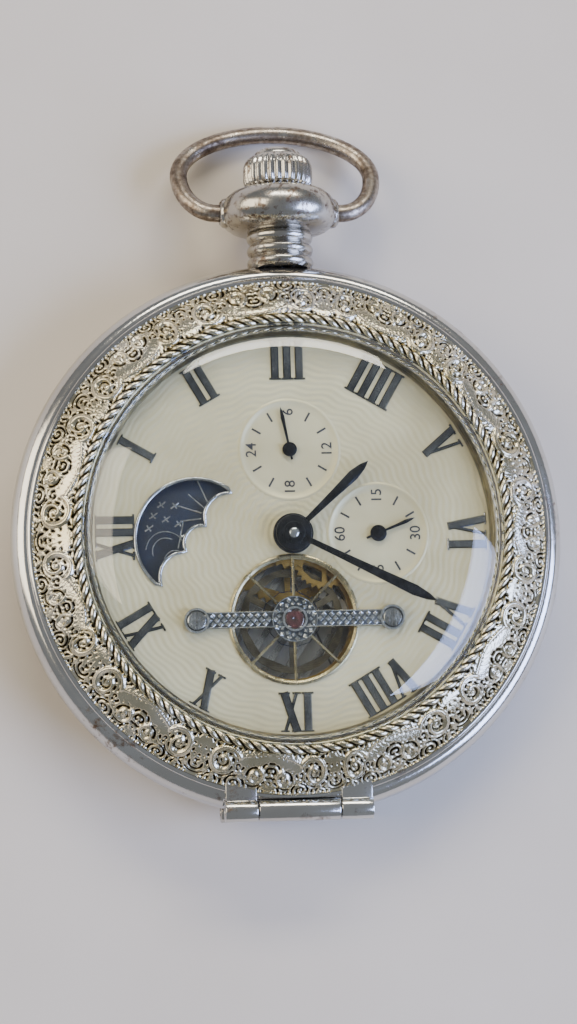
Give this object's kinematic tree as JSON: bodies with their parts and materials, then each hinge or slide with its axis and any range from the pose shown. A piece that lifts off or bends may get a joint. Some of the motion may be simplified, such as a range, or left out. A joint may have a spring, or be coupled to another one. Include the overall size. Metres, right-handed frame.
{
  "type": "pocket watch",
  "caption": "Hand-wound pocket watch on its back: hinged embossed bezel and back, crown, bow, dial with sub-dials and balance window, and its gear train.",
  "frame": {"origin": "middle of the flat back, on the surface that the watch lies on", "axes": "+Z out of the dial, +Y from the dial's middle to the crown, +X to the right with the crown up"},
  "size_m": [0.0468, 0.0609, 0.0129],
  "materials": {
    "silver_case": "polished silver plate with fine scratches",
    "embossed_silver": "embossed silver plate, dark in its recesses",
    "tarnished_bronze": "plated wire worn and tarnished to bronze brown",
    "mineral_crystal": "clear domed mineral glass",
    "brass": "turned brass",
    "silver_bridges": "engraved silver plate",
    "steel": "polished steel",
    "blued_steel": "heat-blued steel",
    "gilt": "gilt brass",
    "dial_silver": "silvered cream dial with engine-turned waves",
    "black_hands": "black nickel",
    "night_blue": "dark blue lacquer",
    "jewel_red": "polished ruby"
  },
  "bodies": {
    "case": {"case_band": "silver_case", "pendant": "embossed_silver", "front_hinge_pin": "steel", "back_hinge_pin": "steel", "movement_ring": "brass", "main_plate": "brass", "barrel_bridge": "silver_bridges", "train_bridge": "silver_bridges", "balance_rear_bridge": "silver_bridges", "pallet_bridge": "silver_bridges", "bridge_screw_1": "blued_steel", "bridge_screw_2": "blued_steel", "bridge_screw_3": "blued_steel", "bridge_screw_4": "blued_steel", "bridge_screw_5": "blued_steel", "bridge_screw_6": "blued_steel", "click_spring": "blued_steel", "click_screw": "steel", "dial": "dial_silver", "balance_window_ring": "gilt", "balance_bridge": "silver_bridges", "balance_bridge_screw_left": "steel", "balance_bridge_screw_right": "steel", "balance_jewel": "jewel_red"},
    "front_cover": {"front_cover": "embossed_silver", "crystal": "mineral_crystal", "crystal_ring": "brass"},
    "back_cover": {"back_cover": "silver_case"},
    "bow": {"bow": "tarnished_bronze"},
    "winding_pinion": {"winding_pinion": "steel"},
    "crown": {"crown": "embossed_silver", "winding_stem": "steel"},
    "crown_wheel": {"crown_wheel": "steel", "winding_transfer_wheel": "steel", "crown_wheel_screw": "steel"},
    "ratchet": {"ratchet_wheel": "steel", "ratchet_screw": "steel", "barrel_arbor": "steel"},
    "click": {"click": "steel"},
    "barrel": {"mainspring_barrel": "brass", "barrel_cover": "brass", "mainspring": "blued_steel"},
    "centre": {"centre_wheel": "gilt"},
    "third": {"third_wheel": "gilt"},
    "seconds": {"fourth_wheel": "gilt", "seconds_hand": "black_hands"},
    "escape": {"escape_wheel": "steel"},
    "pallet": {"pallet_fork": "steel"},
    "balance": {"balance_wheel": "gilt", "hairspring": "blued_steel"},
    "minute": {"cannon_pinion": "steel", "minute_hand": "black_hands"},
    "minute_wheel": {"minute_wheel": "gilt"},
    "hour": {"hour_wheel": "gilt", "hour_hand": "black_hands"},
    "day_idler": {"day_idler_wheel": "gilt"},
    "day": {"day_wheel": "gilt", "day_hand": "black_hands"},
    "sun_moon": {"sun_moon_wheel": "night_blue"}
  },
  "joints": [
    {"name": "front_cover_hinge", "type": "hinge", "parent": "case", "child": "front_cover", "pos_m": [0, -0.0229, 0.0072], "axis": [1, 0, 0], "range_deg": [0, 100]},
    {"name": "back_cover_hinge", "type": "hinge", "parent": "case", "child": "back_cover", "pos_m": [0, -0.0229, 0.0032], "axis": [-1, 0, 0], "range_deg": [0, 100]},
    {"name": "bow_swing", "type": "hinge", "parent": "case", "child": "bow", "pos_m": [0, 0.0282, 0.0052], "axis": [1, 0, 0], "range_deg": [-105, 165]},
    {"name": "winding_turn", "type": "hinge", "parent": "case", "child": "winding_pinion", "pos_m": [0, 0.0136, 0.0052], "axis": [0, 1, 0], "continuous": true},
    {"name": "crown_pull", "type": "slide", "parent": "winding_pinion", "child": "crown", "axis": [0, 1, 0], "range_m": [0, 0.0008]},
    {"name": "crown_wheel_turn", "type": "hinge", "parent": "case", "child": "crown_wheel", "pos_m": [0, 0.01035, 0.0025], "axis": [0, 0, 1], "continuous": true},
    {"name": "ratchet_turn", "type": "hinge", "parent": "case", "child": "ratchet", "pos_m": [-0.00594, 0.00594, 0.0025], "axis": [0, 0, 1], "continuous": true},
    {"name": "click_tilt", "type": "hinge", "parent": "case", "child": "click", "pos_m": [-0.01199, 0.00374, 0.00175], "axis": [0, 0, 1], "range_deg": [0, 8], "stiffness_Nm_per_rad": 0.0000002},
    {"name": "seconds_turn", "type": "hinge", "parent": "case", "child": "seconds", "pos_m": [0.0073, 0, 0.005], "axis": [0, 0, -1], "continuous": true},
    {"name": "third_turn", "type": "hinge", "parent": "case", "child": "third", "pos_m": [0.00508, 0.00342, 0.005], "axis": [0, 0, -1], "continuous": true},
    {"name": "centre_turn", "type": "hinge", "parent": "case", "child": "centre", "pos_m": [0, 0, 0.005], "axis": [0, 0, -1], "continuous": true},
    {"name": "barrel_turn", "type": "hinge", "parent": "case", "child": "barrel", "pos_m": [-0.00594, 0.00594, 0.005], "axis": [0, 0, -1], "continuous": true},
    {"name": "escape_turn", "type": "hinge", "parent": "case", "child": "escape", "pos_m": [0.00572, -0.00339, 0.005], "axis": [0, 0, -1], "continuous": true},
    {"name": "pallet_rock", "type": "hinge", "parent": "case", "child": "pallet", "pos_m": [0.0032, -0.00502, 0.005], "axis": [0, 0, -1], "range_deg": [-3.5, 3.5]},
    {"name": "balance_swing", "type": "hinge", "parent": "case", "child": "balance", "pos_m": [0, -0.0071, 0.005], "axis": [0, 0, -1], "range_deg": [-220, 220], "stiffness_Nm_per_rad": 0.0000004},
    {"name": "minute_turn", "type": "hinge", "parent": "case", "child": "minute", "pos_m": [0, 0, 0.008], "axis": [0, 0, -1], "continuous": true},
    {"name": "minute_wheel_turn", "type": "hinge", "parent": "case", "child": "minute_wheel", "pos_m": [0.00275, -0.00193, 0.0065], "axis": [0, 0, -1], "continuous": true},
    {"name": "hour_turn", "type": "hinge", "parent": "case", "child": "hour", "pos_m": [0, 0, 0.0075], "axis": [0, 0, -1], "continuous": true},
    {"name": "day_idler_turn", "type": "hinge", "parent": "case", "child": "day_idler", "pos_m": [0, 0.00312, 0.0069], "axis": [0, 0, -1], "continuous": true},
    {"name": "day_turn", "type": "hinge", "parent": "case", "child": "day", "pos_m": [0, 0.0072, 0.0075], "axis": [0, 0, -1], "continuous": true},
    {"name": "sun_moon_turn", "type": "hinge", "parent": "case", "child": "sun_moon", "pos_m": [-0.00806, -0.0002, 0.0067], "axis": [0, 0, -1], "continuous": true}
  ],
  "couplings": [
    {"joint": "crown_wheel_turn", "follows": "winding_turn", "ratio": 0.5},
    {"joint": "ratchet_turn", "follows": "winding_turn", "ratio": -0.375},
    {"joint": "third_turn", "follows": "seconds_turn", "ratio": -0.13333},
    {"joint": "centre_turn", "follows": "seconds_turn", "ratio": 0.016667},
    {"joint": "barrel_turn", "follows": "seconds_turn", "ratio": -0.0027778},
    {"joint": "escape_turn", "follows": "seconds_turn", "ratio": -10},
    {"joint": "minute_wheel_turn", "follows": "minute_turn", "ratio": -0.33333},
    {"joint": "hour_turn", "follows": "minute_turn", "ratio": 0.083333},
    {"joint": "day_idler_turn", "follows": "minute_turn", "ratio": -0.037037},
    {"joint": "day_turn", "follows": "minute_turn", "ratio": 0.041667},
    {"joint": "sun_moon_turn", "follows": "minute_turn", "ratio": -0.041667}
  ]
}
